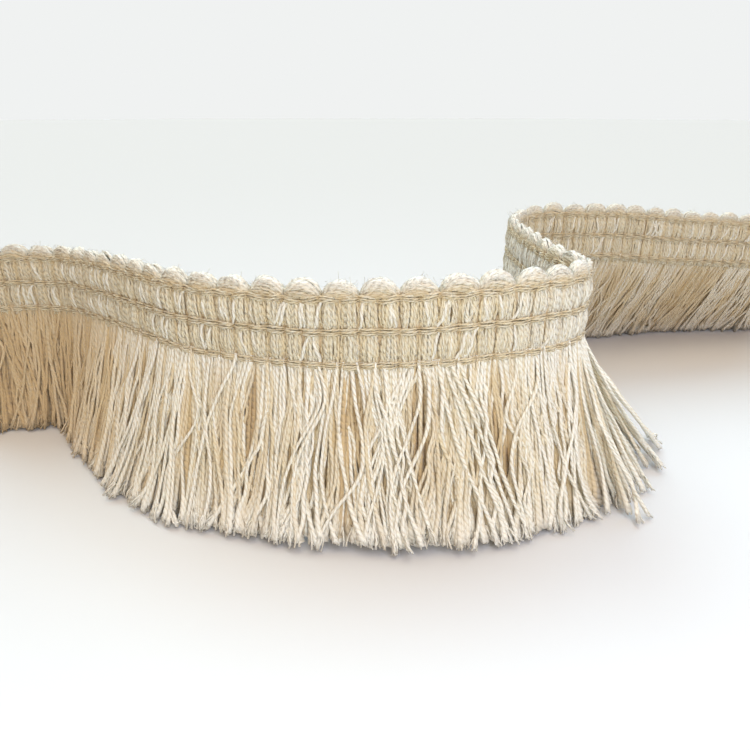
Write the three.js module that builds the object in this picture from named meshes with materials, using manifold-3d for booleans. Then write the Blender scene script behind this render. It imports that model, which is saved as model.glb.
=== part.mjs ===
import * as THREE from "three";
import { mergeVertices } from "three/addons/utils/BufferGeometryUtils.js";
import Module from "manifold-3d";

// Cotton brush fringe that stands on its strands in an open wave. Millimetres, +Z up.
// The heading is a woven tape with a scalloped loop edge. The skirt under it is cut in twelve lengths, end
// to end, and the strands of each length are fused into a narrow strip.

// Heading: a row of upright yarn bundles, two to a scallop, pinched by three binding lines
const HEADING_FOOT = 39.6;
const BUNDLES = 98;
const BUNDLES_PER_SCALLOP = 2;
const STEPS_PER_BUNDLE = 2;
const PINCH = 0.45;
const LOOPS_START = 15.2;
const LOOP_LEAST = 1.4;
const LOOP_MOST = 5;
const LOOP_ROUNDNESS = 0.7;

// Half thickness of the heading at heights over its lower edge: two bellies between the three binding lines
const TAPE = [
  { height: 0, half: 1.35 },
  { height: 4, half: 1.95 },
  { height: 8, half: 1.35 },
  { height: 11.6, half: 1.95 },
  { height: LOOPS_START, half: 1.35 },
];

// Half thickness of the loops, at shares of their height
const LOOP = [
  { share: 0.55, half: 1.3 },
  { share: 1, half: 0.75 },
];

// Skirt: two staggered rows of locks to each length
const SKIRT_LENGTHS = 12;
const LOCKS_PER_ROW = 12;
const GAP = 0.3;
const STRIP_HEIGHT = 2;
const STRIP_HALF = 1.7;
const STRIP_STEPS = 6;
const ROOT_DEPTH = 1.2;
const ROOT_WIDTH = 1.3;
const LOCK_SHARE = 0.84;
const LOCK_WIDEST = 4.6;
const LOCK_THICKNESS = [1.2, 1.5, 1.8];
const FLARE_POWER = 1.2;
const REACH_PLAY = 0.9;
const TIP_PLAY = 0.09;
const ROWS = [
  { face: "right", root: -0.85, start: 0.3 },
  { face: "left", root: 0.85, start: 0.7 },
];

// The wave, seen from above. Bearing is the way the heading runs, in degrees from +X, and lift is how much
// higher it stands than usual. Right and left are how far the tips of the skirt's two faces stand out to the
// left of the heading, where a minus sign means to its right.
const WAVE = [
  { along: 0, bearing: 12, lift: -2.5, right: -10, left: -4 },
  { along: 16, bearing: 10, lift: -2.5, right: -9, left: -3 },
  { along: 30, bearing: -10, lift: -2.5, right: -8, left: -2 },
  { along: 42, bearing: -42, lift: -2, right: -12, left: -5 },
  { along: 60, bearing: -42, lift: -0.5, right: -16, left: -9 },
  { along: 86, bearing: -42, lift: 0.5, right: -16, left: -9 },
  { along: 100, bearing: -25, lift: 0.5, right: -15, left: -8 },
  { along: 126, bearing: -15, lift: 1, right: -13, left: -6 },
  { along: 144, bearing: -4, lift: 2, right: -12, left: -5 },
  { along: 166, bearing: 14, lift: 3, right: -12, left: -5 },
  { along: 180, bearing: 27, lift: 3, right: -12, left: -5 },
  { along: 196, bearing: 61, lift: 2, right: -17, left: -9 },
  { along: 208, bearing: 107, lift: 1, right: -30, left: -18 },
  { along: 220, bearing: 97, lift: 1, right: -24, left: -15 },
  { along: 238, bearing: 93, lift: 1, right: -12, left: -5 },
  { along: 256, bearing: 89, lift: 1, right: -2, left: 5 },
  { along: 274, bearing: 55, lift: 1.5, right: 7, left: 15 },
  { along: 288, bearing: 10, lift: 2.5, right: 15, left: 22 },
  { along: 316, bearing: 11, lift: 1.5, right: 20, left: 26 },
  { along: 342, bearing: 13, lift: -1.5, right: 20, left: 26 },
  { along: 372, bearing: 8, lift: -4, right: 19, left: 25 },
  { along: 400, bearing: 4, lift: -5, right: 18, left: 24 },
];
const LENGTH = WAVE[WAVE.length - 1].along;
const LOCKS = SKIRT_LENGTHS * LOCKS_PER_ROW * ROWS.length;
const LOCK_PITCH = LENGTH / SKIRT_LENGTHS / LOCKS_PER_ROW;
const WALK_STEP = 0.5;

const wasm = await Module();
wasm.setup();

// One column of the wave table, at a distance along the heading
function wave(name, along) {
  const next = Math.max(1, WAVE.findIndex((row) => row.along >= along));
  const from = WAVE[next - 1];
  const to = WAVE[next];
  return THREE.MathUtils.mapLinear(along, from.along, to.along, from[name], to[name]);
}

// The heading's middle line seen from above: a point and the direction to its left, every WALK_STEP
function walk() {
  const steps = [];
  const point = new THREE.Vector2();
  for (let along = 0; along <= LENGTH; along += WALK_STEP) {
    const bearing = THREE.MathUtils.degToRad(wave("bearing", along));
    const left = new THREE.Vector2(-Math.sin(bearing), Math.cos(bearing));
    steps.push({ point: point.clone(), left });
    const halfway = Math.min(along + WALK_STEP / 2, LENGTH);
    const ahead = THREE.MathUtils.degToRad(wave("bearing", halfway));
    point.x += Math.cos(ahead) * WALK_STEP;
    point.y += Math.sin(ahead) * WALK_STEP;
  }
  return steps;
}

const middleLine = walk();

// The point that lies this far along the heading, this far to its left and this high
function place(along, left, height) {
  const steps = THREE.MathUtils.clamp(along, 0, LENGTH) / WALK_STEP;
  const index = Math.min(Math.floor(steps), middleLine.length - 2);
  const from = middleLine[index];
  const to = middleLine[index + 1];
  const point = from.point.clone().lerp(to.point, steps - index);
  const sideways = from.left.clone().lerp(to.left, steps - index);
  point.addScaledVector(sideways, left);
  return new THREE.Vector3(point.x, point.y, height);
}

// Spacing at a distance to the left of the heading, as a share of the spacing on its middle line
function spread(along, left) {
  const from = Math.max(along - WALK_STEP, 0);
  const to = Math.min(along + WALK_STEP, LENGTH);
  return place(from, left, 0).distanceTo(place(to, left, 0)) / (to - from);
}

// A value between -1 and 1 that is always the same for one seed
function play(seed) {
  return THREE.MathUtils.seededRandom(seed) * 2 - 1;
}

// A closed solid through rings of corners, capped flat at both ends. The first half of each ring climbs its
// left face and the second half comes down its right face.
function loft(rings) {
  const corners = rings[0].length;
  const positions = rings.flat().flatMap((point) => point.toArray());
  const triangles = [];
  for (let ring = 0; ring < rings.length - 1; ring += 1) {
    for (let corner = 0; corner < corners; corner += 1) {
      const a = ring * corners + corner;
      const b = ring * corners + ((corner + 1) % corners);
      triangles.push(a, b, b + corners);
      triangles.push(a, b + corners, a + corners);
    }
  }
  const last = (rings.length - 1) * corners;
  for (let low = 0; low < corners / 2 - 1; low += 1) {
    const high = corners - 1 - low;
    triangles.push(high - 1, low + 1, low);
    triangles.push(high, high - 1, low);
    triangles.push(last + low, last + low + 1, last + high - 1);
    triangles.push(last + low, last + high - 1, last + high);
  }
  const geometry = new THREE.BufferGeometry();
  geometry.setAttribute("position", new THREE.Float32BufferAttribute(positions, 3));
  geometry.setIndex(triangles);
  return geometry;
}

function toSolid(geometry) {
  const merged = mergeVertices(geometry);
  const vertProperties = new Float32Array(merged.attributes.position.array);
  const triVerts = new Uint32Array(merged.index.array);
  return new wasm.Manifold(new wasm.Mesh({ numProp: 3, vertProperties, triVerts }));
}

function toGeometry(solid) {
  const mesh = solid.getMesh();
  const geometry = new THREE.BufferGeometry();
  geometry.setAttribute("position", new THREE.BufferAttribute(mesh.vertProperties, 3));
  geometry.setIndex(new THREE.BufferAttribute(mesh.triVerts, 1));
  return geometry;
}

// One section of the heading, up its left face and down its right face
function headingRing(station) {
  const along = (station / (BUNDLES * STEPS_PER_BUNDLE)) * LENGTH;
  const foot = HEADING_FOOT + wave("lift", along);
  const inScallop = (station / STEPS_PER_BUNDLE / BUNDLES_PER_SCALLOP) % 1;
  const arch = Math.sin(Math.PI * inScallop) ** LOOP_ROUNDNESS;
  const loop = THREE.MathUtils.lerp(LOOP_LEAST, LOOP_MOST, arch);
  const pinch = station % STEPS_PER_BUNDLE === 0 ? PINCH : 0;
  const tape = TAPE.map((row) => ({ height: row.height, half: row.half - pinch }));
  const loops = LOOP.map((row) => ({ height: LOOPS_START + row.share * loop, half: row.half }));
  const face = [...tape, ...loops];
  const leftFace = face.map((row) => place(along, row.half, foot + row.height));
  const rightFace = face.map((row) => place(along, -row.half, foot + row.height));
  return [...leftFace, ...rightFace.toReversed()];
}

function headingGeometry() {
  const rings = [];
  for (let station = 0; station <= BUNDLES * STEPS_PER_BUNDLE; station += 1) {
    rings.push(headingRing(station));
  }
  return loft(rings);
}

// The height of the strips' lower edge
function stripFoot(along) {
  return HEADING_FOOT + wave("lift", along) - GAP - STRIP_HEIGHT;
}

// The strip that holds the strands' roots, from one distance along the heading to another
function stripGeometry(from, to) {
  const rings = [];
  for (let step = 0; step <= STRIP_STEPS; step += 1) {
    const along = THREE.MathUtils.lerp(from, to, step / STRIP_STEPS);
    const foot = stripFoot(along);
    rings.push([
      place(along, STRIP_HALF, foot),
      place(along, STRIP_HALF, foot + STRIP_HEIGHT),
      place(along, -STRIP_HALF, foot + STRIP_HEIGHT),
      place(along, -STRIP_HALF, foot),
    ]);
  }
  return loft(rings);
}

// A level four-sided ring of a lock, with its corners ahead, to the right, behind and to the left
function lockRing(along, left, height, width, thickness) {
  const reach = width / 2 / spread(along, left);
  return [
    place(along + reach, left, height),
    place(along, left - thickness / 2, height),
    place(along - reach, left, height),
    place(along, left + thickness / 2, height),
  ];
}

// One lock of strands, from its root in the strip down to its level tip on the ground
function lockGeometry(along, row, count) {
  const rootHeight = stripFoot(along) + ROOT_DEPTH;
  const reach = wave(row.face, along) + REACH_PLAY * play(count);
  const drift = LOCK_PITCH * TIP_PLAY * play(count + LOCKS);
  const rings = LOCK_THICKNESS.map((thickness, step) => {
    const fall = step / (LOCK_THICKNESS.length - 1);
    const left = THREE.MathUtils.lerp(row.root, reach, fall ** FLARE_POWER);
    const open = Math.min(LOCK_PITCH * LOCK_SHARE * spread(along, left), LOCK_WIDEST);
    const width = step === 0 ? ROOT_WIDTH : open;
    const height = rootHeight * (1 - fall);
    return lockRing(along + drift * fall, left, height, width, thickness);
  });
  return loft(rings);
}

// One length of the skirt: a strip and its two rows of locks, joined
function skirtGeometry(index) {
  const start = (index / SKIRT_LENGTHS) * LENGTH;
  const end = ((index + 1) / SKIRT_LENGTHS) * LENGTH;
  let solid = toSolid(stripGeometry(start + GAP / 2, end - GAP / 2));
  ROWS.forEach((row, side) => {
    for (let lock = 0; lock < LOCKS_PER_ROW; lock += 1) {
      const along = start + (lock + row.start) * LOCK_PITCH;
      const count = (index * LOCKS_PER_ROW + lock) * ROWS.length + side;
      solid = solid.add(toSolid(lockGeometry(along, row, count)));
    }
  });
  return toGeometry(solid);
}

function cottonMaterial(color) {
  return new THREE.MeshStandardMaterial({ color, roughness: 0.9, metalness: 0, flatShading: true });
}

const trim = new THREE.Group();

const heading = new THREE.Mesh(headingGeometry(), cottonMaterial("#e9dcc6"));
heading.name = "heading";
trim.add(heading);

for (let index = 0; index < SKIRT_LENGTHS; index += 1) {
  const length = new THREE.Mesh(skirtGeometry(index), cottonMaterial("#e4d3b8"));
  length.name = `fringe_${String(index + 1).padStart(2, "0")}`;
  trim.add(length);
}

// The origin is on the ground under the middle of the whole piece
const middle = new THREE.Box3().setFromObject(trim).getCenter(new THREE.Vector3());
trim.position.set(-middle.x, -middle.y, 0);

export default trim;
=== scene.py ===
import math

import bmesh
import bpy
import numpy as np
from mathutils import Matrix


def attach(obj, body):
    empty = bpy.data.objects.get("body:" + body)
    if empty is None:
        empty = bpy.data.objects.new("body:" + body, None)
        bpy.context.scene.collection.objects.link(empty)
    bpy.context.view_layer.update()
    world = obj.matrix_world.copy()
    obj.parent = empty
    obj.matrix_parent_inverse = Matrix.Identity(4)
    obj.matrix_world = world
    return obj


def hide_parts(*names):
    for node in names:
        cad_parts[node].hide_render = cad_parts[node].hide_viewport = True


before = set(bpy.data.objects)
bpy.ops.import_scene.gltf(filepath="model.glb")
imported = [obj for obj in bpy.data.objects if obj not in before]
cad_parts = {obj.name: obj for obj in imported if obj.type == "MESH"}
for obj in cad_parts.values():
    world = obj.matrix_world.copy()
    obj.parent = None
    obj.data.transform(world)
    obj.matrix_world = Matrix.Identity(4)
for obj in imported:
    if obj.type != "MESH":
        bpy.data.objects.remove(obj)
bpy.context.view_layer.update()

# Cotton brush fringe that stands on its strands in an open wave. Lengths are millimetres until a mesh is
# made. A face is right or left as seen by someone who walks along the heading
MM = 0.001
SIDES = {"right": -1, "left": 1}
SEED = 7
chance = np.random.default_rng(SEED)

# The wave, seen from above, as in the solid part: the way the heading runs in degrees from +X, how much
# higher it stands than usual, and how far the tips of the skirt's two faces stand out to the left of the
# heading
WAVE = {
    "along": [
        0, 16, 30, 42, 60, 86, 100, 126, 144, 166, 180,
        196, 208, 220, 238, 256, 274, 288, 316, 342, 372, 400,
    ],
    "bearing": [
        12, 10, -10, -42, -42, -42, -25, -15, -4, 14, 27,
        61, 107, 97, 93, 89, 55, 10, 11, 13, 8, 4,
    ],
    "lift": [
        -2.5, -2.5, -2.5, -2, -0.5, 0.5, 0.5, 1, 2, 3, 3,
        2, 1, 1, 1, 1, 1.5, 2.5, 1.5, -1.5, -4, -5,
    ],
    "right": [
        -10, -9, -8, -12, -16, -16, -15, -13, -12, -12, -12,
        -17, -30, -24, -12, -2, 7, 15, 20, 20, 19, 18,
    ],
    "left": [
        -4, -3, -2, -5, -9, -9, -8, -6, -5, -5, -5,
        -9, -18, -15, -5, 5, 15, 22, 26, 26, 25, 24,
    ],
}
LENGTH = WAVE["along"][-1]
WALK_STEP = 0.5
START = (-148.454, -14.73)

# Heading, with the heights of its three binding lines over its foot
HEADING_FOOT = 39.6
SCALLOPS = 49
SCALLOP = LENGTH / SCALLOPS
BUNDLE = SCALLOP / 2
BUNDLES = SCALLOPS * 2
LINES = [0.4, 8.0, 15.2]

# Yarn: its sides, and those of a thin or half hidden one, how flat it is, how far it turns at each ring,
# how far its plies slant for each millimetre, and the length of pattern that yarns start from at random.
# The askew direction is one to set out from when the directions square to a yarn are worked out
YARN_SIDES = 4
FINE_SIDES = 3
YARN_FLAT = 0.85
YARN_TURN = math.radians(14)
PLY_SLANT = 0.32
PATTERN_ROOM = 400
ASKEW = np.array([0.31, 0.92, 0.24])


def column(name, along):
    """One column of the wave table, at distances along the heading."""
    return np.interp(along, WAVE["along"], WAVE[name])


def walk():
    """The heading's middle line seen from above: distances, points and directions to the left."""
    stops = np.arange(0, LENGTH + WALK_STEP / 2, WALK_STEP)
    ahead = np.radians(column("bearing", np.minimum(stops + WALK_STEP / 2, LENGTH)))
    moves = WALK_STEP * np.stack([np.cos(ahead), np.sin(ahead)], axis=1)
    points = np.array(START) + np.concatenate([[[0, 0]], np.cumsum(moves, axis=0)[:-1]])
    bearing = np.radians(column("bearing", stops))
    lefts = np.stack([-np.sin(bearing), np.cos(bearing)], axis=1)
    return stops, points, lefts


STOPS, MIDDLE, LEFTS = walk()


def place(along, left, height):
    """Points this far along the heading, this far to its left and this high."""
    along, left, height = np.broadcast_arrays(along, left, height)
    left_x = np.interp(along, STOPS, LEFTS[:, 0])
    left_y = np.interp(along, STOPS, LEFTS[:, 1])
    beyond = along - np.clip(along, 0, LENGTH)
    x = np.interp(along, STOPS, MIDDLE[:, 0]) + left * left_x + beyond * left_y
    y = np.interp(along, STOPS, MIDDLE[:, 1]) + left * left_y - beyond * left_x
    return np.stack([x, y, height], axis=-1)


def unit(vectors):
    """The same directions, each of length 1."""
    return vectors / np.linalg.norm(vectors, axis=-1, keepdims=True)


def blend(low, high, share):
    """From low to high as the share goes from 0 to 1."""
    return low + (high - low) * share


def share_at(profile, along):
    """The share that a profile gives at places along the heading."""
    return np.interp(along, profile["along"], profile["share"])


def grown(pair, share):
    """The first number of a pair, with its second one added in proportion to a share."""
    base, gain = pair
    return base + gain * share


def hump(at, middle, half):
    """1 at the middle and 0 from half its width away."""
    return np.clip(1 - ((at - middle) / half) ** 2, 0, 1)


def frames_along(centres):
    """Two directions square to each line of points, carried along it without turning."""
    tangents = unit(np.gradient(centres, axis=1))
    sideways = np.empty_like(centres)
    first = np.cross(tangents[:, 0], ASKEW)
    sideways[:, 0] = unit(first)
    for ring in range(1, centres.shape[1]):
        tangent = tangents[:, ring]
        carried = sideways[:, ring - 1]
        carried = carried - np.sum(carried * tangent, axis=1, keepdims=True) * tangent
        sideways[:, ring] = unit(carried)
    return sideways, np.cross(tangents, sideways)


def yarn_master(rings, sides, flat, turn):
    """One straight yarn as a mesh, with a ring at every whole height, each turned a little further."""
    bm = bmesh.new()
    bmesh.ops.create_circle(bm, cap_ends=True, segments=sides, radius=1.0)
    bmesh.ops.scale(bm, vec=(1.0, flat, 1.0), verts=bm.verts[:])
    bmesh.ops.spin(
        bm,
        geom=bm.verts[:] + bm.edges[:] + bm.faces[:],
        cent=(0, 0, 0),
        axis=(0, 0, 1),
        dvec=(0, 0, 1),
        angle=turn * (rings - 1),
        steps=rings - 1,
        use_merge=False,
    )
    bmesh.ops.recalc_face_normals(bm, faces=bm.faces[:])
    mesh = bpy.data.meshes.new("yarn_master")
    bm.to_mesh(mesh)
    bm.free()
    return mesh


def copies_of(mesh, name, count):
    """An object whose mesh is that mesh, this many times over."""
    piece = bpy.data.objects.new(name, mesh)
    bpy.context.scene.collection.objects.link(piece)
    array = piece.modifiers.new("copies", "ARRAY")
    array.count = count
    array.use_relative_offset = False
    array.use_constant_offset = True
    array.constant_offset_displace = (0, 0, 0)
    evaluated = piece.evaluated_get(bpy.context.evaluated_depsgraph_get())
    joined = bpy.data.meshes.new_from_object(evaluated)
    piece.modifiers.clear()
    piece.data = joined
    joined.name = name
    bpy.data.meshes.remove(mesh)
    return piece


def lay_yarns(name, centres, girth, values, sides=YARN_SIDES, flat=YARN_FLAT, turn=YARN_TURN):
    """Lays one yarn along each row of centres, all in one mesh. Values are numbers kept at its points."""
    count, rings = centres.shape[:2]
    piece = copies_of(yarn_master(rings, sides, flat, turn), name, count)
    mesh = piece.data
    flat_list = np.zeros(len(mesh.vertices) * 3)
    mesh.vertices.foreach_get("co", flat_list)
    local = flat_list.reshape(count, -1, 3)[0]
    ring = np.rint(local[:, 2]).astype(int)
    phase = chance.uniform(0, 2 * math.pi, (count, 1))
    across_x = np.cos(phase) * local[:, 0] - np.sin(phase) * local[:, 1]
    across_y = np.sin(phase) * local[:, 0] + np.cos(phase) * local[:, 1]
    sideways, other = frames_along(centres)
    wide = np.broadcast_to(girth, (count, rings))[:, ring]
    points = centres[:, ring]
    points = points + (wide * across_x)[..., None] * sideways[:, ring]
    points = points + (wide * across_y)[..., None] * other[:, ring]
    mesh.vertices.foreach_set("co", (points * MM).ravel())
    untwisted = np.arctan2(local[:, 1] / flat, local[:, 0]) - turn * ring
    corner = np.rint(untwisted / (2 * math.pi / sides)).astype(int) % sides
    add_yarn_map(mesh, np.tile(corner, count), centres, ring, sides)
    for key, value in values.items():
        spread = np.broadcast_to(value, (count, rings))[:, ring]
        attribute = mesh.attributes.new(key, "FLOAT", "POINT")
        attribute.data.foreach_set("value", np.ascontiguousarray(spread, dtype=np.float32).ravel())
    mesh.polygons.foreach_set("use_smooth", np.ones(len(mesh.polygons), bool))
    mesh.update()
    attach(piece, "root")
    return piece


def add_yarn_map(mesh, corner, centres, ring, sides):
    """A UV map on the yarns: round each yarn from 0 to 1, and millimetres along it."""
    count = len(centres)
    steps = np.linalg.norm(np.diff(centres, axis=1), axis=2)
    lengths = np.concatenate([np.zeros((count, 1)), np.cumsum(steps, axis=1)], axis=1)
    lengths = lengths + chance.uniform(0, PATTERN_ROOM, (count, 1))
    along = lengths[:, ring].ravel()
    starts = np.zeros(len(mesh.polygons), int)
    totals = np.zeros(len(mesh.polygons), int)
    owners = np.zeros(len(mesh.loops), int)
    mesh.polygons.foreach_get("loop_start", starts)
    mesh.polygons.foreach_get("loop_total", totals)
    mesh.loops.foreach_get("vertex_index", owners)
    face = np.repeat(np.arange(len(starts)), totals)
    around = corner[owners].astype(float)
    last = np.zeros(len(starts), bool)
    np.logical_or.at(last, face, around == sides - 1)
    around = np.where(last[face] & (around == 0), sides, around)
    layer = mesh.uv_layers.new(name="yarn")
    pairs = np.stack([around / sides, along[owners]], axis=1)
    layer.data.foreach_set("uv", pairs.astype(np.float32).ravel())


# Skirt: sets of strands. Layers are shares of the way from the right face to the left one, strands are
# those of one bundle in one layer, and frays are the loose fibres at one tip. Free says how freely the
# strands hang and girth is half their width. Depth and the painted shade value, kept on the yarn, are
# painted shade in its colour: the deeper layers are tanner, darker and browner
SKIRT_LENGTHS = 12
SETS = {
    "outer_right": {
        "layers": [0.1], "strands": 6, "rings": 28, "sides": 4, "frays": 3,
        "free": 1.0, "girth": 0.5, "depth": 0.06, "painted_shade": 0.0,
    },
    "outer_left": {
        "layers": [0.9], "strands": 5, "rings": 18, "sides": 4, "frays": 2,
        "free": 1.0, "girth": 0.5, "depth": 0.08, "painted_shade": 0.0,
    },
    "under_right": {
        "layers": [0.17, 0.26], "strands": 5, "rings": 20, "sides": 4, "frays": 2,
        "free": 0.7, "girth": 0.54, "depth": 0.4, "painted_shade": 0.2,
    },
    "under_left": {
        "layers": [0.8], "strands": 4, "rings": 14, "sides": 4, "frays": 0,
        "free": 0.6, "girth": 0.6, "depth": 0.45, "painted_shade": 0.1,
    },
}
INNER = {
    "layers": [0.36, 0.5, 0.68], "strands": 4, "rings": 10, "sides": 3,
    "free": 0.2, "girth": 0.95, "depth": 0.9, "painted_shade": 0.6,
}
MIDDLE_LAYER = 0.5

# Roots: how far across a bundle they stand to each side of its middle, how unevenly, how far the outermost
# are from the middle of the heading, and how far they reach up into it
ROOT_FILL = 0.45
ROOT_JITTER = 0.6
LAYER_JITTER = 0.05
ROOT_LEFT = 1.5
ROOT_INTO_HEADING = 1.2

# Tips: how far across a free bundle they stand, how far a bundle, a wave of the skirt, a straying strand
# and each single strand are off their place along the heading, and how high the tips are
TIP_FILL = 0.26
HANK_SHIFT = 2.1
SWAY = 2.6
SWAY_WAVE = 34
SWAY_STARTS = (0.4, 2.0, 5.0)
STRAY_SHARE = 0.22
STRAY_SHIFT = 5.0
TIP_SHIFT = 1.5
END_ROOM = 1.5
TIP_OUT_SHIFT = 0.7
TIP_HEIGHT = 0.45
TIP_HEIGHT_OF_GIRTH = 0.75
TIP_HEIGHT_SHIFT = 0.6

# Between them: the power with which the skirt flares and with which each strand bows, how far a bundle
# bends and stands out, and the strand's own swings, each a size and the fewest and most half turns
FLARE = 1.2
BOWS = (0.8, 2.4)
HANK_BEND = 1.6
HANK_OUT = 1.0
HANK_REACH = 0.8
SWING = (1.4, 0.8, 2.6)
CRIMP = (0.27, 5.0, 9.0)
OUT_SWING = (0.5, 0.7, 1.9)
SWING_RISE = 3
WAFT_RATIOS = (1, 1.7, 2.9)
WAFT_SCALE = 1.7

# Where the right face parts, and how wide
PARTINGS = [115, 138, 152, 168.5]
PARTING_HALF = 4.0
PARTING_WIDE = 2.6
PARTING_FREE_POWER = 3

# The turn, where the strands of the right face are gathered in and some fan out, and the front, whose tips
# are off the floor
FAN_AT = 204
FAN_HALF = 11
FAN_REACH = 13.0
FAN_POWER = 3
GATHER = 4.0
GATHER_AT = 208
GATHER_HALF = 17
FRONT_LIFT = 1.8
FRONT_AT = 145
FRONT_HALF = 38
FRONT_LAYERS = 0.7

# Width of a strand: its range, and how much its tip swells
STRAND_UNEVEN = (0.8, 1.12)
TIP_SWELL = 0.7
TIP_SWELL_POWER = 7

# Painted light and shade on the strands: the left end and the rear stretch have painted shade, darker and
# browner, the turn is lighter with painted light, the freest strands are lighter with painted light and the
# deepest darker with painted shade, and tips are whiter
PAINTED_SHADE_STRETCHES = {"along": [0, 48, 72, 100, 262, 284, 400], "share": [0.75, 0.65, 0.25, 0, 0, 0.25, 0.25]}
PAINTED_SHADE_STRETCH_LAYERS = 0.55
PAINTED_SHADE_STRETCH_DEPTH = 0.8
PAINTED_LIGHT_TURN = {"along": [168, 182, 208, 218], "share": [0, 1, 1, 0]}
TURN_PAINTED_LIGHT = 0.3
FREE_PAINTED_LIGHT = 0.22
FREE_PAINTED_LIGHT_POWER = 4
TIP_POWER = 5
FREE_PAINTED_LIGHT_AND_SHADE = 6
FREE_USUAL = 0.73
RECESS = 0.36
RECESS_MOST = 0.7
RECESS_POWER = 0.8
RECESS_PAINTED_SHADE = 0.6
PARTING_PAINTED_SHADE = 0.9


def swing(fall, kind, share=1):
    """A slow swing from side to side down each strand, none at its root."""
    size, fewest, most = kind
    count = len(fall)
    waves = chance.uniform(fewest, most, (count, 1))
    start = chance.uniform(0, 2, (count, 1))
    size = size * share * chance.normal(0, 1, (count, 1))
    return size * np.sin(math.pi * (fall * waves + start)) * np.minimum(fall * SWING_RISE, 1)


def waft(along, wave, starts):
    """A slow wandering number along the heading, usually between -1 and 1."""
    turns = 2 * math.pi * along / wave
    return sum(np.sin(turns * ratio + start) for ratio, start in zip(WAFT_RATIOS, starts)) / WAFT_SCALE


def by_bundle(size, bundle, face):
    """A random number for each strand, the same for all strands of one bundle and face."""
    return chance.normal(0, size, (BUNDLES, 2))[bundle, face]


def strand_roots(kind):
    """Each strand's bundle, its place in it from -1 to 1, and its layer."""
    rows = [
        (bundle, (strand + 0.5) / kind["strands"] * 2 - 1, layer)
        for layer in kind["layers"]
        for bundle in range(BUNDLES)
        for strand in range(kind["strands"])
    ]
    bundle, across, layer = np.array(rows).T
    across = across + chance.uniform(-ROOT_JITTER, ROOT_JITTER, len(rows)) / kind["strands"]
    layer = np.clip(layer + chance.normal(0, LAYER_JITTER, len(rows)), 0, 1)
    return bundle.astype(int), across, layer


def strand_runs(free, bundle, across, face, fall):
    """Where along the heading each strand has its root, its tip and every step of its fall."""
    count = len(bundle)
    middle = (bundle + 0.5) * BUNDLE
    root = middle + across * BUNDLE * ROOT_FILL
    hank = by_bundle(HANK_SHIFT * free, bundle, face)
    sway = SWAY * free * waft(root, SWAY_WAVE, SWAY_STARTS)
    strays = chance.random(count) < STRAY_SHARE * free
    straying = np.where(strays, chance.normal(0, STRAY_SHIFT, count), 0)
    tip = middle + across * BUNDLE * blend(ROOT_FILL, TIP_FILL, free) + hank + sway
    tip = tip + chance.normal(0, TIP_SHIFT * free, count) + straying
    tip = np.clip(tip, -END_ROOM, LENGTH + END_ROOM)
    bow = chance.uniform(*BOWS, (count, 1))
    run = blend(root[:, None], tip[:, None], fall**bow)
    bend = by_bundle(HANK_BEND * free, bundle, face)[:, None]
    run = run + bend * np.sin(math.pi * fall) * fall
    run = run + swing(fall, SWING, free)
    run = run + swing(fall, CRIMP, free)
    return root, tip, run


def parted(root, face):
    """How near each strand of the right face is to a parting, and which way it pushes the strand."""
    away = (root[:, None] - np.array(PARTINGS)) / PARTING_HALF
    near = np.exp(-(away**2)) * (face == 0)[:, None]
    return np.sum(near, axis=1, keepdims=True), np.sum(np.sign(away) * near, axis=1, keepdims=True)


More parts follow.
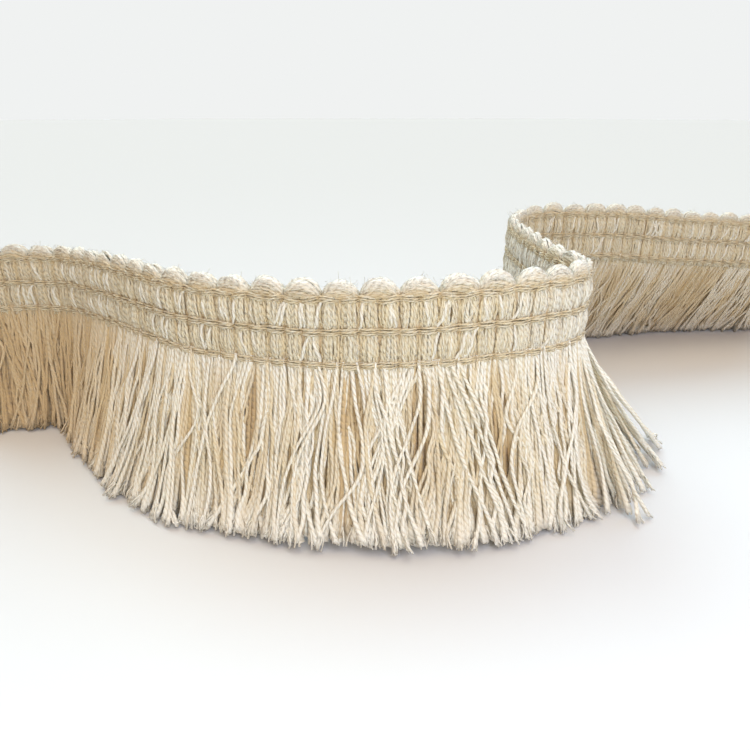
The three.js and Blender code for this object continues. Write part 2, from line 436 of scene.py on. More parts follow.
def skirt_strands(kind):
    """The roots, middle lines, girths and kept values of one kind of the skirt's strands."""
    free = kind["free"]
    bundle, across, layer = strand_roots(kind)
    count = len(bundle)
    face = (layer > MIDDLE_LAYER).astype(int)
    fall = np.linspace(0, 1, kind["rings"])[None, :] * np.ones((count, 1))
    arch = np.sin(math.pi * fall)
    root, tip, along = strand_runs(free, bundle, across, face, fall)
    near_parting, pushed = parted(root, face)
    along = along + PARTING_WIDE * free**PARTING_FREE_POWER * pushed * arch

    tip_left = blend(column("right", tip), column("left", tip), layer)
    in_fan = (np.abs(root - FAN_AT) < FAN_HALF) & (face == 0)
    fanned = np.where(in_fan, chance.random(count) ** FAN_POWER, 0)
    tip_left = tip_left + chance.normal(0, TIP_OUT_SHIFT * free, count) - FAN_REACH * free * fanned
    tip_left = tip_left + GATHER * hump(tip, GATHER_AT, GATHER_HALF) * (face == 0)
    stands_out = by_bundle(HANK_OUT * free, bundle, face)
    tip_left = tip_left + (2 * face - 1) * HANK_REACH * stands_out
    left = blend(blend(-ROOT_LEFT, ROOT_LEFT, layer)[:, None], tip_left[:, None], fall**FLARE)
    left = left + swing(fall, OUT_SWING, free)

    root_height = (HEADING_FOOT + column("lift", root) + ROOT_INTO_HEADING)[:, None]
    lifted = FRONT_LIFT * hump(tip, FRONT_AT, FRONT_HALF) * (layer < FRONT_LAYERS)
    tip_height = np.abs(chance.normal(0, TIP_HEIGHT_SHIFT, (count, 1))) + TIP_HEIGHT
    tip_height = tip_height + TIP_HEIGHT_OF_GIRTH * kind["girth"] + lifted[:, None]
    centres = place(along, left, blend(root_height, tip_height, fall))
    girth = kind["girth"] * chance.uniform(*STRAND_UNEVEN, (count, 1))
    girth = girth * (1 + TIP_SWELL * fall**TIP_SWELL_POWER)

    # Painted shade on strands that stand back behind their neighbours, and in the partings
    recessed = np.clip(-RECESS * stands_out, 0, RECESS_MOST)[:, None] * np.sin(math.pi * fall**RECESS_POWER)
    # Painted shade on the left end and the rear stretch, in the layers of the right face
    painted_shade_stretch = (share_at(PAINTED_SHADE_STRETCHES, root) * (layer < PAINTED_SHADE_STRETCH_LAYERS))[:, None]
    # Painted light on the turn, carried on the tip value so that it whitens the yarn
    painted_light_turn = (share_at(PAINTED_LIGHT_TURN, root) * free * (face == 0))[:, None]
    pale = TURN_PAINTED_LIGHT * painted_light_turn + FREE_PAINTED_LIGHT * free**FREE_PAINTED_LIGHT_POWER
    parting_painted_shade = PARTING_PAINTED_SHADE * near_parting * arch * (1 - free)
    values = {
        # Painted light and shade by layer: the freest, outermost strands are lighter and the deepest tanner
        # and darker
        "tint": chance.normal(0, 1, (count, 1)) + FREE_PAINTED_LIGHT_AND_SHADE * (free - FREE_USUAL),
        "tip": np.maximum(fall**TIP_POWER, pale) * (1 - painted_shade_stretch),
        "depth": kind["depth"] + recessed + PAINTED_SHADE_STRETCH_DEPTH * painted_shade_stretch,
        "painted_shade": painted_shade_stretch + kind["painted_shade"] + RECESS_PAINTED_SHADE * recessed + parting_painted_shade,
    }
    return root, centres, girth, values


def build_skirt(material):
    """All the strands: the sets in twelve lengths each, the loose ones, the frays and the inner strands."""
    for label, kind in SETS.items():
        root, centres, girth, values = skirt_strands(kind)
        owner = np.clip((root / LENGTH * SKIRT_LENGTHS).astype(int), 0, SKIRT_LENGTHS - 1)
        for index in range(SKIRT_LENGTHS):
            mine = owner == index
            number = f"{index + 1:02d}"
            part = {key: value[mine] for key, value in values.items()}
            piece = lay_yarns(f"skirt_{label}_{number}", centres[mine], girth[mine], part, kind["sides"])
            piece.data.materials.append(material)
            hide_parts(f"fringe_{number}")
        if kind["frays"] > 0:
            build_frays(label, centres[:, FRAYED], values, kind["frays"], material)
    wisps, wisp_values = build_wisps(material)
    build_frays("wisps", wisps[:, FRAYED], wisp_values, WISP_FRAYS, material)
    root, centres, girth, values = skirt_strands(INNER)
    piece = lay_yarns("skirt_inner", centres, girth, values, INNER["sides"])
    piece.data.materials.append(material)


# Wisps: loose strands that lie over the right face of the skirt. Each has the places along the heading
# that it passes at its root, at four depths on its way down and at its tip
WISP_DEPTHS = [0, 0.2, 0.4, 0.6, 0.8, 1]
WISPS = [
    [128, 132, 127, 124, 123, 123],
    [129, 133, 128, 125.5, 126, 126],
    [137, 138, 140, 140.5, 134, 131],
    [103, 103, 103, 106, 107, 105.5],
    [111, 107, 104, 103, 102.5, 102],
    [151, 152, 149, 146, 145.5, 147],
    [153, 153.5, 153, 148.5, 147, 146.5],
    [177.5, 178.5, 171.5, 170, 172, 173],
    [157, 161, 164, 166.5, 169, 171],
    [156, 159, 162, 164, 167, 170],
    [159, 162.5, 166, 168, 170.5, 174],
    [155, 156.5, 158.5, 161, 164.5, 167],
]
WISP_RINGS = 30
WISP_SMOOTHINGS = 6
WISP_ROOT_LEFT = -1.15
WISP_STAND_OFF = 0.9
WISP_STAND_OFF_RISE = 6
WISP_TIP_HEIGHT = 1.8
WISP_GIRTH = 0.5
WISP_UNEVEN = (0.95, 1.15)
# Wisps are lighter than usual yarn: painted light, like that on the freest strands
WISP_TINT = 2.2
WISP_FRAYS = 3


def smoothed(row, times):
    """A row of numbers, each averaged with its neighbours this many times."""
    for smoothing in range(times):
        padded = np.concatenate([row[:1], row, row[-1:]])
        row = (padded[:-2] + padded[1:-1] + padded[2:]) / 3
    return row


def build_wisps(material):
    """The loose strands over the right face. Returns their middle lines and values, for their frays."""
    fall = np.linspace(0, 1, WISP_RINGS)
    rows = []
    for passes in WISPS:
        along = smoothed(np.interp(fall, WISP_DEPTHS, passes), WISP_SMOOTHINGS)
        left = blend(WISP_ROOT_LEFT, column("right", along), fall**FLARE)
        left = left - WISP_STAND_OFF * np.minimum(fall * WISP_STAND_OFF_RISE, 1)
        root_height = HEADING_FOOT + column("lift", along) + ROOT_INTO_HEADING
        rows.append(place(along, left, blend(root_height, WISP_TIP_HEIGHT, fall)))
    centres = np.array(rows)
    girth = WISP_GIRTH * chance.uniform(*WISP_UNEVEN, (len(WISPS), 1)) * np.ones_like(fall)
    plain = np.zeros((len(WISPS), 1))
    values = {
        "tint": plain + WISP_TINT,
        "tip": plain + fall[None, :] ** TIP_POWER,
        "depth": plain,
        "painted_shade": plain,
    }
    piece = lay_yarns("skirt_wisps", centres, girth, values)
    piece.data.materials.append(material)
    return centres, values


# Frays: the fluffy untwisted ends of the strands. They run on from two of a strand's rings, its fourth
# last and its last one, start before the tip, spread, curl and stay off the floor
FRAYED = [-4, -1]
FRAY_RINGS = 4
FRAY_LENGTH = 4.2
FRAY_BEFORE_TIP = 0.85
FRAY_WIDE = 0.29
FRAY_UNEVEN = (0.7, 1.3)
FRAY_SPREAD = (0.25, 0.5)
FRAY_SPREAD_POWER = 1.5
FRAY_CURL = 0.3
FRAY_OFF_FLOOR = 0.05
FRAY_OFF_FLOOR_SHIFT = 0.1
FRAY_TINT = 0.5
FRAY_TIP = 0.5
FRAY_DEPTH = 0.6


def build_frays(label, points, strand_values, frays, material):
    """The frays of one set of strands, from a point near each end and the end itself."""
    before = np.repeat(points[:, 0], frays, axis=0)[:, None, :]
    ends = np.repeat(points[:, 1], frays, axis=0)[:, None, :]
    count = len(ends)
    share = np.linspace(0, 1, FRAY_RINGS)[None, :, None]
    ahead = unit(ends - before)
    spread = chance.normal(0, 1, (count, 1, 3))
    spread = spread - np.sum(spread * ahead, axis=2, keepdims=True) * ahead
    curl = chance.normal(0, FRAY_CURL, (count, 1, 3))
    lines = ends + ahead * FRAY_LENGTH * (share - FRAY_BEFORE_TIP)
    lines = lines + spread * grown(FRAY_SPREAD, share**FRAY_SPREAD_POWER)
    lines = lines + curl * np.sin(math.pi * share)
    lowest = FRAY_WIDE + FRAY_OFF_FLOOR + FRAY_OFF_FLOOR_SHIFT * chance.random((count, 1))
    lines[:, :, 2] = np.maximum(lines[:, :, 2], lowest)
    girth = FRAY_WIDE * chance.uniform(*FRAY_UNEVEN, (count, 1)) * np.ones((1, FRAY_RINGS))
    # Frays keep the painted shade of their strands' ends, which also holds back their whitening
    painted_shade = np.repeat(strand_values["painted_shade"][:, -1:], frays, axis=0)
    values = {
        "tint": np.repeat(strand_values["tint"], frays, axis=0) + FRAY_TINT,
        "tip": blend(FRAY_TIP, 1, share[:, :, 0]) * (1 - painted_shade),
        "depth": FRAY_DEPTH * painted_shade,
        "painted_shade": painted_shade,
    }
    piece = lay_yarns(f"skirt_frays_{label}", lines, girth, values, FINE_SIDES)
    piece.data.materials.append(material)


# Heading: heights over its foot where its yarns are held, with half its thickness there and how much of
# its width each bundle keeps
KNOTS = [-1.5, 0.4, 4.2, 8.0, 11.6, 15.2]
HALF = [1.35, 1.25, 1.8, 1.2, 1.8, 1.15]
SQUEEZE = [0.92, 0.78, 0.98, 0.78, 0.98, 0.86]
HEADING_GIRTH = 0.46

# Bundles: the upright yarns of one bundle on one face, how unevenly they lie, and how round the bundle is
BUNDLE_YARNS = 12
BUNDLE_RINGS = 13
BUNDLE_JITTER = 0.08
BUNDLE_TOP = 0.4
BUNDLE_UNEVEN = (0.85, 1.2)
BUNDLE_ROUND = 0.5
BUNDLE_SWING = (0.08, 3.0, 6.0)
BUNDLE_TURN = math.radians(12)
KNOT_SHIFT = 0.2
OUT_SHIFT = 0.12

# Painted shade and light on the bundles: their edges and tops have painted shade, the stretches with
# painted shade on the strands are darker and browner here too, and the turn and the left face in the bend
# behind it are lighter with painted light
IN_BEND_PAINTED_LIGHT = {"along": [196, 214, 246, 268], "share": [0, 0.9, 0.9, 0]}
BUNDLE_TURN_PAINTED_LIGHT = 0.35
BUNDLE_DEPTH = 0.1
EDGE_DEPTH = 0.5
EDGE_DEPTH_POWER = 3
TOP_DEPTH = 0.2
TOP_FROM = 13.5
BUNDLE_PAINTED_SHADE = 0.3
EDGE_PAINTED_SHADE = 0.3
EDGE_PAINTED_SHADE_POWER = 4


def smooth_between(knots, values, at):
    """Values at knots, joined by smooth steps, at other places."""
    index = np.clip(np.searchsorted(knots, at) - 1, 0, len(knots) - 2)
    low = np.take(knots, index)
    high = np.take(knots, index + 1)
    share = np.clip((at - low) / (high - low), 0, 1)
    eased = share * share * (3 - 2 * share)
    return blend(np.take(values, index), np.take(values, index + 1), eased)


def build_bundles(face, material):
    """The upright yarns of one face, in bundles that the binding lines squeeze."""
    side = SIDES[face]
    count = BUNDLES * BUNDLE_YARNS
    middle = ((np.repeat(np.arange(BUNDLES), BUNDLE_YARNS) + 0.5) * BUNDLE)[:, None]
    across = (np.tile(np.arange(BUNDLE_YARNS), BUNDLES) + 0.5) / BUNDLE_YARNS * 2 - 1
    across = (across + chance.uniform(-BUNDLE_JITTER, BUNDLE_JITTER, count))[:, None]
    height = np.linspace(KNOTS[0], KNOTS[-1] + BUNDLE_TOP, BUNDLE_RINGS)[None, :] * np.ones((count, 1))
    shifts = chance.normal(0, KNOT_SHIFT, (count, len(KNOTS)))
    drift = np.array([smooth_between(KNOTS, shift, row) for shift, row in zip(shifts, height)])
    along = middle + across * BUNDLE / 2 * smooth_between(KNOTS, SQUEEZE, height) + drift
    rounded = np.sqrt(1 - BUNDLE_ROUND * np.clip(across, -1, 1) ** 2)
    left = smooth_between(KNOTS, HALF, height) * rounded + chance.normal(0, OUT_SHIFT, (count, 1))
    left = left + swing(height / KNOTS[-1], BUNDLE_SWING)
    centres = place(along, side * left, HEADING_FOOT + column("lift", along) + height)
    girth = HEADING_GIRTH * chance.uniform(*BUNDLE_UNEVEN, (count, 1))
    # Painted light on the turn and on the left face in the bend behind it, carried on the tip value
    in_bend_painted_light = share_at(IN_BEND_PAINTED_LIGHT, middle) * (face == "left")
    painted_light_turn = BUNDLE_TURN_PAINTED_LIGHT * share_at(PAINTED_LIGHT_TURN, middle) * (face == "right")
    # Painted shade at the bundles' edges, in the slits between them, and near their tops, below the
    # scallops
    depth = BUNDLE_DEPTH + EDGE_DEPTH * np.abs(across) ** EDGE_DEPTH_POWER
    painted_shade = BUNDLE_PAINTED_SHADE * share_at(PAINTED_SHADE_STRETCHES, middle)
    values = {
        "tint": chance.normal(0, 1, (count, 1)),
        "tip": in_bend_painted_light + painted_light_turn,
        "depth": depth + TOP_DEPTH * (height > TOP_FROM),
        "painted_shade": painted_shade + EDGE_PAINTED_SHADE * np.abs(across) ** EDGE_PAINTED_SHADE_POWER,
    }
    piece = lay_yarns(f"heading_bundles_{face}", centres, girth, values, FINE_SIDES, 1.0, BUNDLE_TURN)
    piece.data.materials.append(material)
    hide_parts("heading")


# Floats: looser yarns over the bundles. Each lies slanting from one binding line to the next, and bulges
FLOATS = 160
FLOAT_RINGS = 14
FLOAT_END_ROOM = 4
FLOAT_SLANT = (0.8, 0.8)
FLOAT_WAVE = 0.3
FLOAT_BULGE = 0.28
FLOAT_SUNK = 0.1
FLOAT_UNEVEN = (0.85, 1.1)
FLOAT_TINT = (1.5, 0.6)
FLOAT_TIP = 0.4


def build_floats(material):
    """Looser yarns that lie slanting over the bundles, here and there, on both faces."""
    count = FLOATS * 2
    side = np.where(np.arange(count) % 2 == 0, -1, 1)[:, None]
    middle = chance.uniform(FLOAT_END_ROOM, LENGTH - FLOAT_END_ROOM, (count, 1))
    lower = chance.integers(0, 2, (count, 1)) == 0
    share = np.linspace(0, 1, FLOAT_RINGS)[None, :]
    height = blend(np.where(lower, LINES[0], LINES[1]), np.where(lower, LINES[1], LINES[2]), share)
    slant = chance.normal(*FLOAT_SLANT, (count, 1))
    along = middle + slant * (share - 0.5) * 2 + FLOAT_WAVE * np.sin(math.pi * share * 2)
    left = smooth_between(KNOTS, HALF, height) + FLOAT_BULGE * np.sin(math.pi * share) - FLOAT_SUNK
    centres = place(along, side * left, HEADING_FOOT + column("lift", along) + height)
    girth = HEADING_GIRTH * chance.uniform(*FLOAT_UNEVEN, (count, 1))
    values = {
        "tint": chance.normal(*FLOAT_TINT, (count, 1)),
        "tip": np.full((1, 1), FLOAT_TIP),
        "depth": np.zeros((1, 1)),
    }
    piece = lay_yarns("heading_floats", centres, girth, values)
    piece.data.materials.append(material)
    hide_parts("heading")


# Scallops: yarns that leave one end of a scallop together, bow over it and meet again at its other end.
# Their ends are below the upper binding line
LOOP_YARNS = 14
LOOP_RINGS = 14
LOOP_REACH = 3.8
LOOP_RISE = 3.2
LOOP_HALF = 1.2
LOOP_TWIST = 0.6
LOOP_FIRST = 0.4
LOOP_JITTER = 0.04
LOOP_UNEVEN = (0.9, 1.1)
LOOP_LEAN = 0.3
LOOP_BOW_POWER = 0.75
LOOP_SLACK = 0.2
LOOP_SWING = (0.22, 1.0, 3.0)
LOOP_ENDS_BELOW = 1.1
LOOP_ENDS_LEFT = 0.25
LOOP_LIFT = 1.3
LOOP_OUT = 0.1
LOOP_GIRTH = 0.54
LOOP_GIRTH_UNEVEN = (0.85, 1.15)
LOOP_SWELL = (0.7, 0.35)
LOOP_TINT = (0.2, 0.8)
LOOP_TOP_PAINTED_LIGHT = (0.1, 0.85)
LOOP_DEPTH = 0.7
LOOP_PAINTED_SHADE = 0.5


def build_scallops(face, material):
    """The looped edge of one face."""
    side = SIDES[face]
    count = SCALLOPS * LOOP_YARNS
    middle = ((np.repeat(np.arange(SCALLOPS), LOOP_YARNS) + 0.5) * SCALLOP)[:, None]
    order = np.tile((np.arange(LOOP_YARNS) + LOOP_FIRST) / LOOP_YARNS, SCALLOPS)[:, None]
    order = order + chance.uniform(-LOOP_JITTER, LOOP_JITTER, (count, 1))
    size = np.repeat(chance.uniform(*LOOP_UNEVEN, (SCALLOPS, 1)), LOOP_YARNS, axis=0)
    lean = np.repeat(chance.normal(0, LOOP_LEAN, (SCALLOPS, 1)), LOOP_YARNS, axis=0)
    share = np.linspace(0, 1, LOOP_RINGS)[None, :]
    angle = order * math.pi / 2 + LOOP_TWIST * side * (share - 0.5)
    bow = np.sin(math.pi * share) ** LOOP_BOW_POWER
    fullness = 1 - LOOP_SLACK * chance.random((count, 1)) ** 2
    rise = LOOP_RISE * size * fullness * np.sin(angle)
    along = middle - LOOP_REACH * np.cos(math.pi * share) + lean * bow * np.sin(angle)
    along = along + swing(share * np.ones((count, 1)), LOOP_SWING)
    height = LINES[2] - LOOP_ENDS_BELOW + (LOOP_LIFT + rise) * bow
    left = side * (LOOP_ENDS_LEFT + (LOOP_HALF * fullness * np.cos(angle) + LOOP_OUT) * bow)
    centres = place(along, left, HEADING_FOOT + column("lift", along) + height)
    girth = LOOP_GIRTH * chance.uniform(*LOOP_GIRTH_UNEVEN, (count, 1)) * grown(LOOP_SWELL, bow)
    # Painted light on the scallops' tops and painted shade at their sunk bases
    sunk = 1 - np.sin(angle) * bow
    values = {
        "tint": chance.normal(*LOOP_TINT, (count, 1)),
        "tip": grown(LOOP_TOP_PAINTED_LIGHT, np.clip(np.sin(angle), 0, 1) ** 2 * bow),
        "depth": LOOP_DEPTH * sunk,
        "painted_shade": LOOP_PAINTED_SHADE * sunk**2,
    }
    piece = lay_yarns(f"scallops_{face}", centres, girth, values, FINE_SIDES)
    piece.data.materials.append(material)
    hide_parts("heading")


# Binding yarns: three strands side by side on each binding line of each face. They rise over the bundles
# and go down between them, and the upper line sags under each scallop
BINDING_STRANDS = (-1, 0, 1)
BINDING_RINGS = 520
BINDING_GIRTH = 0.37
BINDING_APART = (0.36, 0.2)
BINDING_OUT = 1.0
BINDING_OVER = [0.9, 0.9, 0.65]
BINDING_SAG = [0, 0, 0.4]
BINDING_MIDDLE_OUT = 0.08
BINDING_OVER_POWER = 0.4
BINDING_PINCH_POWER = 0.5
LINE_RIPPLE = (0.1, 0.31)
STRAND_RIPPLE = (0.05, 0.83)
BINDING_TINT = (0.4, 0.6)
BINDING_DEPTH = (0.2, 0.6)
BINDING_PAINTED_SHADE = (0.08, 0.9)


def ripple(along, kind, start):
    """A small wave along the heading. Its kind is its size and its pace."""
    size, pace = kind
    return size * np.sin(along * pace + start)


def build_binding(material):
    """The binding yarns of both faces."""
    rows = [
        (line, strand, side)
        for line in range(len(LINES))
        for strand in BINDING_STRANDS
        for side in SIDES.values()
    ]
    along = np.linspace(0, LENGTH, BINDING_RINGS)[None, :]
    bundle_wave = np.abs(np.sin(math.pi * along / BUNDLE))
    over = bundle_wave**BINDING_OVER_POWER
    centres = []
    for line, strand, side in rows:
        left = side * (BINDING_OUT + BINDING_OVER[line] * over + BINDING_MIDDLE_OUT * (strand == 0))
        sag = -BINDING_SAG[line] * np.sin(math.pi * along / SCALLOP) ** 2
        height = LINES[line] + strand * grown(BINDING_APART, over) + sag
        height = height + ripple(along, LINE_RIPPLE, line * 2) + ripple(along, STRAND_RIPPLE, strand * 2)
        centres.append(place(along, left, HEADING_FOOT + column("lift", along) + height))
    centres = np.concatenate(centres)
    # Painted shade where the binding yarns go down between the bundles
    pinch = 1 - bundle_wave**BINDING_PINCH_POWER
    values = {
        "tint": chance.normal(*BINDING_TINT, (len(rows), 1)),
        "tip": np.zeros((1, 1)),
        "depth": grown(BINDING_DEPTH, pinch),
        "painted_shade": grown(BINDING_PAINTED_SHADE, pinch),
    }
    piece = lay_yarns("binding_yarns", centres, BINDING_GIRTH, values, FINE_SIDES)
    piece.data.materials.append(material)
    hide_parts("heading")


# Loose fibres: this share of them stands off the scallops, and the rest off the faces of the heading
HAIRS = 2200
HAIR_RINGS = 4
HAIR_GIRTH = 0.045
HAIR_END_ROOM = 1
ON_SCALLOPS = 0.6
SCALLOP_HAIR_BELOW = 0.3
SCALLOP_HAIR_LEFT = 0.4
HEADING_HAIR_LEFT = 1.7
HAIR_SPREAD = 0.8
HAIR_OUT = 0.7
HAIR_CURL = 0.35
HAIR_TIP = 0.6


def build_hairs(material):
    """Fine loose fibres, most of them on the scallops."""
    side = chance.choice([-1, 1], (HAIRS, 1))
    along = chance.uniform(HAIR_END_ROOM, LENGTH - HAIR_END_ROOM, (HAIRS, 1))
    edge = LINES[2] + LOOP_RISE * np.sqrt(np.abs(np.sin(math.pi * along / SCALLOP)))
    on_scallop = chance.random((HAIRS, 1)) < ON_SCALLOPS
    height = np.where(on_scallop, edge - SCALLOP_HAIR_BELOW, chance.uniform(0, 1, (HAIRS, 1)) * LINES[2])
    height = HEADING_FOOT + column("lift", along) + height
    left = side * np.where(on_scallop, SCALLOP_HAIR_LEFT, HEADING_HAIR_LEFT)
    start = place(along, left, height)
    outward = place(along, left + side, height) - start
    share = np.linspace(0, 1, HAIR_RINGS)[None, :, None]
    reach = chance.normal(0, HAIR_SPREAD, (HAIRS, 1, 3)) + HAIR_OUT * outward
    reach[:, :, 2] = np.abs(reach[:, :, 2])
    curl = chance.normal(0, HAIR_CURL, (HAIRS, 1, 3))
    lines = start + reach * share + curl * np.sin(math.pi * share)
    values = {
        "tint": np.ones((HAIRS, 1)),
        "tip": np.full((1, 1), HAIR_TIP),
        "depth": np.zeros((1, 1)),
    }
    piece = lay_yarns("loose_fibres", lines, HAIR_GIRTH, values, FINE_SIDES)
    piece.data.materials.append(material)


# Ground: the band that the yarns are bound to
GROUND_THICK = 2.3
GROUND_FOOT = -0.8
GROUND_TALL = 16.4
GROUND_STEPS = 400
GROUND_ROWS = 6


def build_ground(material):
    """The woven ground inside the heading, a thin band that the yarns are bound to."""
    bm = bmesh.new()
    bmesh.ops.create_grid(bm, x_segments=GROUND_STEPS, y_segments=GROUND_ROWS, size=1.0)
    mesh = bpy.data.meshes.new("heading_ground")
    bm.to_mesh(mesh)
    bm.free()
    flat_list = np.zeros(len(mesh.vertices) * 3)
    mesh.vertices.foreach_get("co", flat_list)
    local = (flat_list.reshape(-1, 3) + 1) / 2
    along = local[:, 0] * LENGTH
    height = blend(GROUND_FOOT, GROUND_FOOT + GROUND_TALL, local[:, 1])
    points = place(along, 0, HEADING_FOOT + column("lift", along) + height)
    mesh.vertices.foreach_set("co", (points * MM).ravel())
    mesh.update()
    piece = bpy.data.objects.new("heading_ground", mesh)
    bpy.context.scene.collection.objects.link(piece)
    solidify = piece.modifiers.new("thickness", "SOLIDIFY")
    solidify.thickness = GROUND_THICK * MM
    solidify.offset = 0
    piece.data.materials.append(material)
    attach(piece, "root")
    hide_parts("heading")


# Materials. A Mix node has its two colours and its result at these places among its sockets
MIX_FIRST = 6
MIX_SECOND = 7
MIX_RESULT = 2


class Socket:
    """A socket of a node. Sums on it add Math nodes."""

    def __init__(self, nodes, socket=None):
        self.nodes = nodes
        self.socket = socket

    def add(self, kind, settings, inputs, output=0):
        """Adds one node of any type with its settings and its sockets' values or links."""
        node = self.nodes.new(kind)
        for name, value in settings.items():
            setattr(node, name, value)
        for key, value in inputs.items():
            if isinstance(value, Socket):
                self.nodes.id_data.links.new(value.socket, node.inputs[key])
            else:
                node.inputs[key].default_value = value
        return Socket(self.nodes, node.outputs[output])

    def maths(self, operation, first, second=0.0):
        return self.add("ShaderNodeMath", {"operation": operation}, {0: first, 1: second})

    def __add__(self, other):
        return self.maths("ADD", self, other)

    def __radd__(self, other):
        return self.maths("ADD", other, self)

    def __sub__(self, other):
        return self.maths("SUBTRACT", self, other)

    def __rsub__(self, other):
        return self.maths("SUBTRACT", other, self)

    def __mul__(self, other):
        return self.maths("MULTIPLY", self, other)

    def __rmul__(self, other):
        return self.maths("MULTIPLY", other, self)

    def __pow__(self, other):
        return self.maths("POWER", self, other)

    def __abs__(self):
        return self.maths("ABSOLUTE", self)

    def sine(self):
        return self.maths("SINE", self)

    def held(self):
        """The same number, held between 0 and 1."""
        return self.add("ShaderNodeMath", {"operation": "ADD", "use_clamp": True}, {0: self, 1: 0.0})

    def kept_value(self, name):
        """The value of this name that is kept on the yarns."""
        return self.add("ShaderNodeAttribute", {"attribute_name": name}, {}, "Fac")

    def mix(self, first, second):
        """The first colour where this number is 0, and the second where it is 1."""
        colours = {"Factor": self, MIX_FIRST: first, MIX_SECOND: second}
        return self.add("ShaderNodeMix", {"data_type": "RGBA"}, colours, MIX_RESULT)

    def feed(self, socket):
        """Links this socket to a socket of the shader."""
        self.nodes.id_data.links.new(self.socket, socket)


def shaded_material(name, finish):
    """A new material, with its shader after the finish is set on it."""
    material = bpy.data.materials.new(name)
    material.use_nodes = True
    shader = material.node_tree.nodes["Principled BSDF"]
    for key, value in finish.items():
        shader.inputs[key].default_value = value
    return material, shader


# Cotton yarn: its colours, and the noise of its fibres and slubs, stretched along the yarn. The shaded,
# groove and brown colours are painted shade, and the white one whitens the tips and gives painted light
# where the tip value carries it
PALE = (0.98, 0.975, 0.905, 1)
USUAL = (0.88, 0.84, 0.68, 1)
SHADED = (0.85, 0.68, 0.37, 1)
HEADING_PALE = (0.90, 0.88, 0.78, 1)
HEADING_USUAL = (0.82, 0.74, 0.54, 1)
GROOVE = (0.74, 0.55, 0.26, 1)
WHITE = (0.98, 0.975, 0.92, 1)
# The darker brown that painted shade turns the yarn towards
PAINTED_SHADE_BROWN = (0.63, 0.48, 0.29, 1)
COTTON_FINISH = {
    "Roughness": 0.92,
    "Specular IOR Level": 0.25,
    "Sheen Weight": 0.25,
    "Sheen Roughness": 0.5,
}
FIBRE_STRETCH = (4.0, 0.4, 1.0)
FIBRE_NOISE = {"Scale": 1.6, "Detail": 3.0, "Roughness": 0.6}
SLUB_STRETCH = (0.6, 0.12, 1.0)
SLUB_NOISE = {"Scale": 1.0, "Detail": 1.0}
PLY_SHARPNESS = 0.5

# How much a yarn's values, fibres, slubs and plies weigh in its colour and relief
PALE_USUAL = 0.3
PALE_BY = {"tint": 0.16, "fibres": 0.35, "slubs": 0.6, "depth": 0.3, "tip": 0.6, "plies": 0.15}
SHADE_BY = {"depth": 0.25, "deep": 0.7, "tip": 0.4, "slubs": 0.3}
WHITE_BY_TIP = 0.85
GROOVE_DARK = 0.62
GROOVE_LESS_AT_TIP = 0.8
RELIEF_BY = {"plies": 0.8, "fibres": 0.3}
RELIEF_STRENGTH = 0.8
RELIEF_DEEP = 0.25


def cotton(name, pale, usual, shaded):
    """Undyed cotton yarn: two plies with slubs and fibres, with painted shade in the depth and the ply
    grooves, painted light where the tip value carries it, and whiter at the tips.
    """
    material, shader = shaded_material(name, COTTON_FINISH)
    start = Socket(material.node_tree.nodes)
    yarn_map = start.add("ShaderNodeUVMap", {"uv_map": "yarn"}, {})
    tint = start.kept_value("tint")
    depth = start.kept_value("depth")
    tip = start.kept_value("tip")
    painted_shade = start.kept_value("painted_shade")
    fibres_at = start.add("ShaderNodeMapping", {}, {"Vector": yarn_map, "Scale": FIBRE_STRETCH})
    fibres_in = {"Vector": fibres_at, **FIBRE_NOISE}
    fibres = start.add("ShaderNodeTexNoise", {"noise_dimensions": "2D"}, fibres_in, "Fac")
    slubs_at = start.add("ShaderNodeMapping", {}, {"Vector": yarn_map, "Scale": SLUB_STRETCH})
    slubs_in = {"Vector": slubs_at, **SLUB_NOISE}
    slubs = start.add("ShaderNodeTexNoise", {"noise_dimensions": "2D"}, slubs_in, "Fac")
    around = start.add("ShaderNodeSeparateXYZ", {}, {"Vector": yarn_map}, "X")
    length = start.add("ShaderNodeSeparateXYZ", {}, {"Vector": yarn_map}, "Y")
    plies = abs(((around + PLY_SLANT * length) * 2 * math.pi).sine()) ** PLY_SHARPNESS

    # Paleness: depth takes it away as painted shade, and the tip value and the ply crowns add it, partly as
    # painted light
    paleness = PALE_USUAL + PALE_BY["tint"] * tint + PALE_BY["tip"] * tip + PALE_BY["plies"] * plies
    paleness = paleness + PALE_BY["fibres"] * (fibres - 0.5) + PALE_BY["slubs"] * (slubs - 0.5)
    paleness = (paleness - PALE_BY["depth"] * depth).held()
    shade = SHADE_BY["depth"] * depth + SHADE_BY["deep"] * depth * depth
    shade = (shade - SHADE_BY["tip"] * tip + SHADE_BY["slubs"] * (0.5 - slubs)).held()
    # Painted shade in the grooves between the plies, less at the tips
    groove = (GROOVE_DARK * (1.0 - plies) * (1.0 - GROOVE_LESS_AT_TIP * tip)).held()
    colour = paleness.mix(usual, pale)
    colour = shade.mix(colour, shaded)
    # Whiter at the tips, and where the tip value carries painted light on the turn, the bend, the scallops'
    # tops and the freest strands
    colour = (WHITE_BY_TIP * tip).held().mix(colour, WHITE)
    # Painted shade: darker and browner where the yarn carries it
    colour = painted_shade.held().mix(colour, PAINTED_SHADE_BROWN)
    colour = groove.mix(colour, GROOVE)
    colour.feed(shader.inputs["Base Color"])

    relief = RELIEF_BY["plies"] * plies + RELIEF_BY["fibres"] * fibres
    bump = {"Strength": RELIEF_STRENGTH, "Distance": RELIEF_DEEP * MM, "Height": relief}
    start.add("ShaderNodeBump", {}, bump).feed(shader.inputs["Normal"])
    return material


# Matt finish of the floor and of the ground, and the ground's weave, whose pattern has scales for each
# metre
MATT_FINISH = {"Roughness": 0.95, "Specular IOR Level": 0.1}
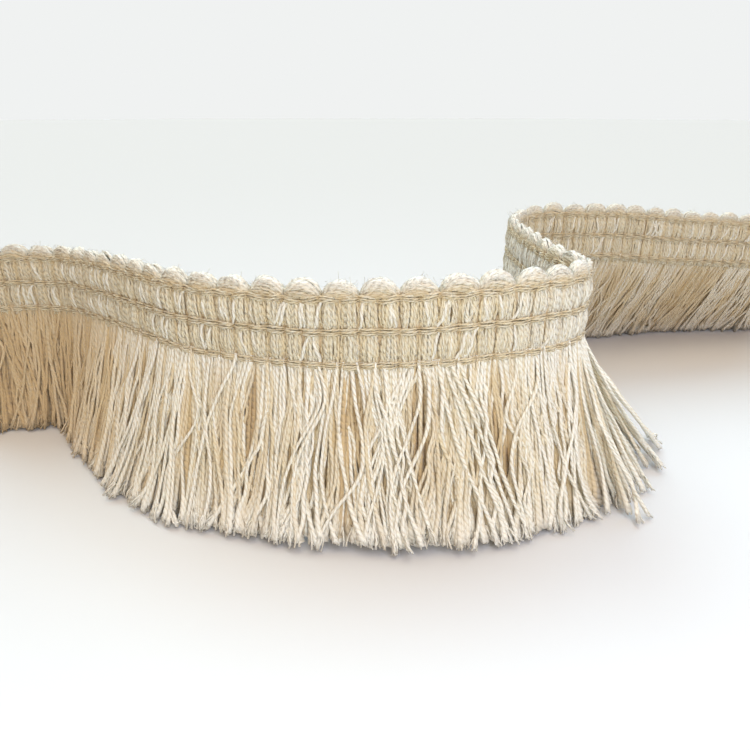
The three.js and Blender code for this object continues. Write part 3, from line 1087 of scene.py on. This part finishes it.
# The ground is tan and brown, darker than its cotton: painted shade for the slits between the bundles,
# where it shows
GROUND_PALE = (0.68, 0.54, 0.36, 1)
GROUND_DARK = (0.56, 0.43, 0.27, 1)
MOTTLE_NOISE = {"Scale": 500.0, "Detail": 4.0}
THREAD_SCALE = 320.0
WEAVE_BY = {"mottle": 0.6, "threads": 0.4}
WEAVE_STRENGTH = 0.5
WEAVE_DEEP = 0.2


def woven(name, pale, dark):
    """A plain close weave for cloth that is mostly covered: crossing threads with a little mottling."""
    material, shader = shaded_material(name, MATT_FINISH)
    start = Socket(material.node_tree.nodes)
    place_on = start.add("ShaderNodeTexCoord", {}, {}, "Object")
    mottle = start.add("ShaderNodeTexNoise", {}, {"Vector": place_on, **MOTTLE_NOISE}, "Fac")
    threads_in = {"Vector": place_on, "Scale": THREAD_SCALE}
    threads = start.add("ShaderNodeTexWave", {"bands_direction": "Z"}, threads_in, "Fac")
    share = (WEAVE_BY["mottle"] * mottle + WEAVE_BY["threads"] * threads).held()
    share.mix(dark, pale).feed(shader.inputs["Base Color"])
    bump = {"Strength": WEAVE_STRENGTH, "Distance": WEAVE_DEEP * MM, "Height": share}
    start.add("ShaderNodeBump", {}, bump).feed(shader.inputs["Normal"])
    return material


def matt(name, colour):
    """One even matt colour."""
    return shaded_material(name, {"Base Color": colour, **MATT_FINISH})[0]


# Stage, in metres. The room's light is even behind the trim and dim and warm in front of it, and changes
# between these two shares of the way straight back
FLOOR_RADIUS = 6.0
FLOOR_SIDES = 64
FLOOR_WHITE = (0.70, 0.711, 0.738, 1)
ROOM_BACK = (0.873, 0.887, 0.882, 1)
ROOM_FRONT = (0.36, 0.21, 0.08, 1)
ROOM_TURNS_FROM = 0.2
ROOM_TURNS_TO = 0.8
SUN_SOFTNESS = 40
PANEL_SIZE = 0.2
FRONT_PANEL_AT = (0.06, -0.27, 0.24)
LOW_PANEL_AT = (0.03, -0.30, 0.13)


def add_light(light, colour, turned):
    """Puts a light of this colour in the scene, turned this many degrees from straight down."""
    light.color = colour
    lamp = bpy.data.objects.new(light.name, light)
    lamp.rotation_euler = [math.radians(angle) for angle in turned]
    bpy.context.scene.collection.objects.link(lamp)
    return lamp


def add_sun(name, energy, colour, turned):
    """Soft even light from one side."""
    light = bpy.data.lights.new(name, "SUN")
    light.energy = energy
    light.angle = math.radians(SUN_SOFTNESS)
    add_light(light, colour, turned)


def add_panel(name, energy, colour, at, turned):
    """A square soft panel light, in metres and watts."""
    light = bpy.data.lights.new(name, "AREA")
    light.energy = energy
    light.size = PANEL_SIZE
    add_light(light, colour, turned).location = at


def build_floor():
    """A plain pale floor."""
    bm = bmesh.new()
    bmesh.ops.create_circle(bm, cap_ends=True, segments=FLOOR_SIDES, radius=FLOOR_RADIUS)
    mesh = bpy.data.meshes.new("floor")
    bm.to_mesh(mesh)
    bm.free()
    floor = bpy.data.objects.new("floor", mesh)
    bpy.context.scene.collection.objects.link(floor)
    mesh.materials.append(matt("floor_white", FLOOR_WHITE))


def build_room():
    """A plain room that is brighter behind the trim than in front of it."""
    world = bpy.data.worlds.new("room")
    world.use_nodes = True
    background = world.node_tree.nodes["Background"]
    start = Socket(world.node_tree.nodes)
    towards = start.add("ShaderNodeTexCoord", {}, {}, "Generated")
    backwards = start.add("ShaderNodeSeparateXYZ", {}, {"Vector": towards}, "Y")
    turn = {"Value": backwards, "From Min": ROOM_TURNS_FROM, "From Max": ROOM_TURNS_TO}
    behind = start.add("ShaderNodeMapRange", {"clamp": True}, turn, "Result")
    behind.mix(ROOM_FRONT, ROOM_BACK).feed(background.inputs["Color"])
    background.inputs["Strength"].default_value = 1.0
    bpy.context.scene.world = world
    bpy.context.scene.view_settings.view_transform = "Standard"


def build_lights():
    """Soft light from behind on both sides and from above, with two weak panels in front."""
    add_sun("window_light", energy=1.7, colour=(0.74, 0.94, 1.0), turned=(-30, -28, 0))
    add_sun("right_light", energy=1.0, colour=(0.44, 0.74, 1.0), turned=(-30, 28, 0))
    add_sun("top_light", energy=1.08, colour=(0.95, 0.87, 0.70), turned=(5, 5, 0))
    add_panel("front_light", energy=0.51, colour=(0.62, 0.69, 0.90), at=FRONT_PANEL_AT, turned=(48, 0, 12))
    add_panel("low_light", energy=0.15, colour=(0.9, 0.92, 0.7), at=LOW_PANEL_AT, turned=(70, 0, 6))


# Camera, in metres and degrees, with its lens in millimetres
CAMERA_AT = (-0.02375, -0.18468, 0.092)
CAMERA_TILT = 66
FOCAL_LENGTH = 28.8
SENSOR_WIDE = 36.0
NEAREST = 0.01


def build_camera():
    """The camera of the photograph, which looks down on the trim a little."""
    lens = bpy.data.cameras.new("camera")
    lens.sensor_width = SENSOR_WIDE
    lens.lens = FOCAL_LENGTH
    lens.clip_start = NEAREST
    camera = bpy.data.objects.new("camera", lens)
    camera.location = CAMERA_AT
    camera.rotation_euler = (math.radians(CAMERA_TILT), 0, 0)
    bpy.context.scene.collection.objects.link(camera)
    bpy.context.scene.camera = camera


build_camera()
build_floor()
build_room()
build_lights()
skirt_cotton = cotton("skirt_cotton", PALE, USUAL, SHADED)
heading_cotton = cotton("heading_cotton", HEADING_PALE, HEADING_USUAL, SHADED)
build_skirt(skirt_cotton)
for face in SIDES:
    build_bundles(face, heading_cotton)
    build_scallops(face, heading_cotton)
build_floats(heading_cotton)
build_binding(heading_cotton)
build_hairs(heading_cotton)
build_ground(woven("ground_cotton", GROUND_PALE, GROUND_DARK))
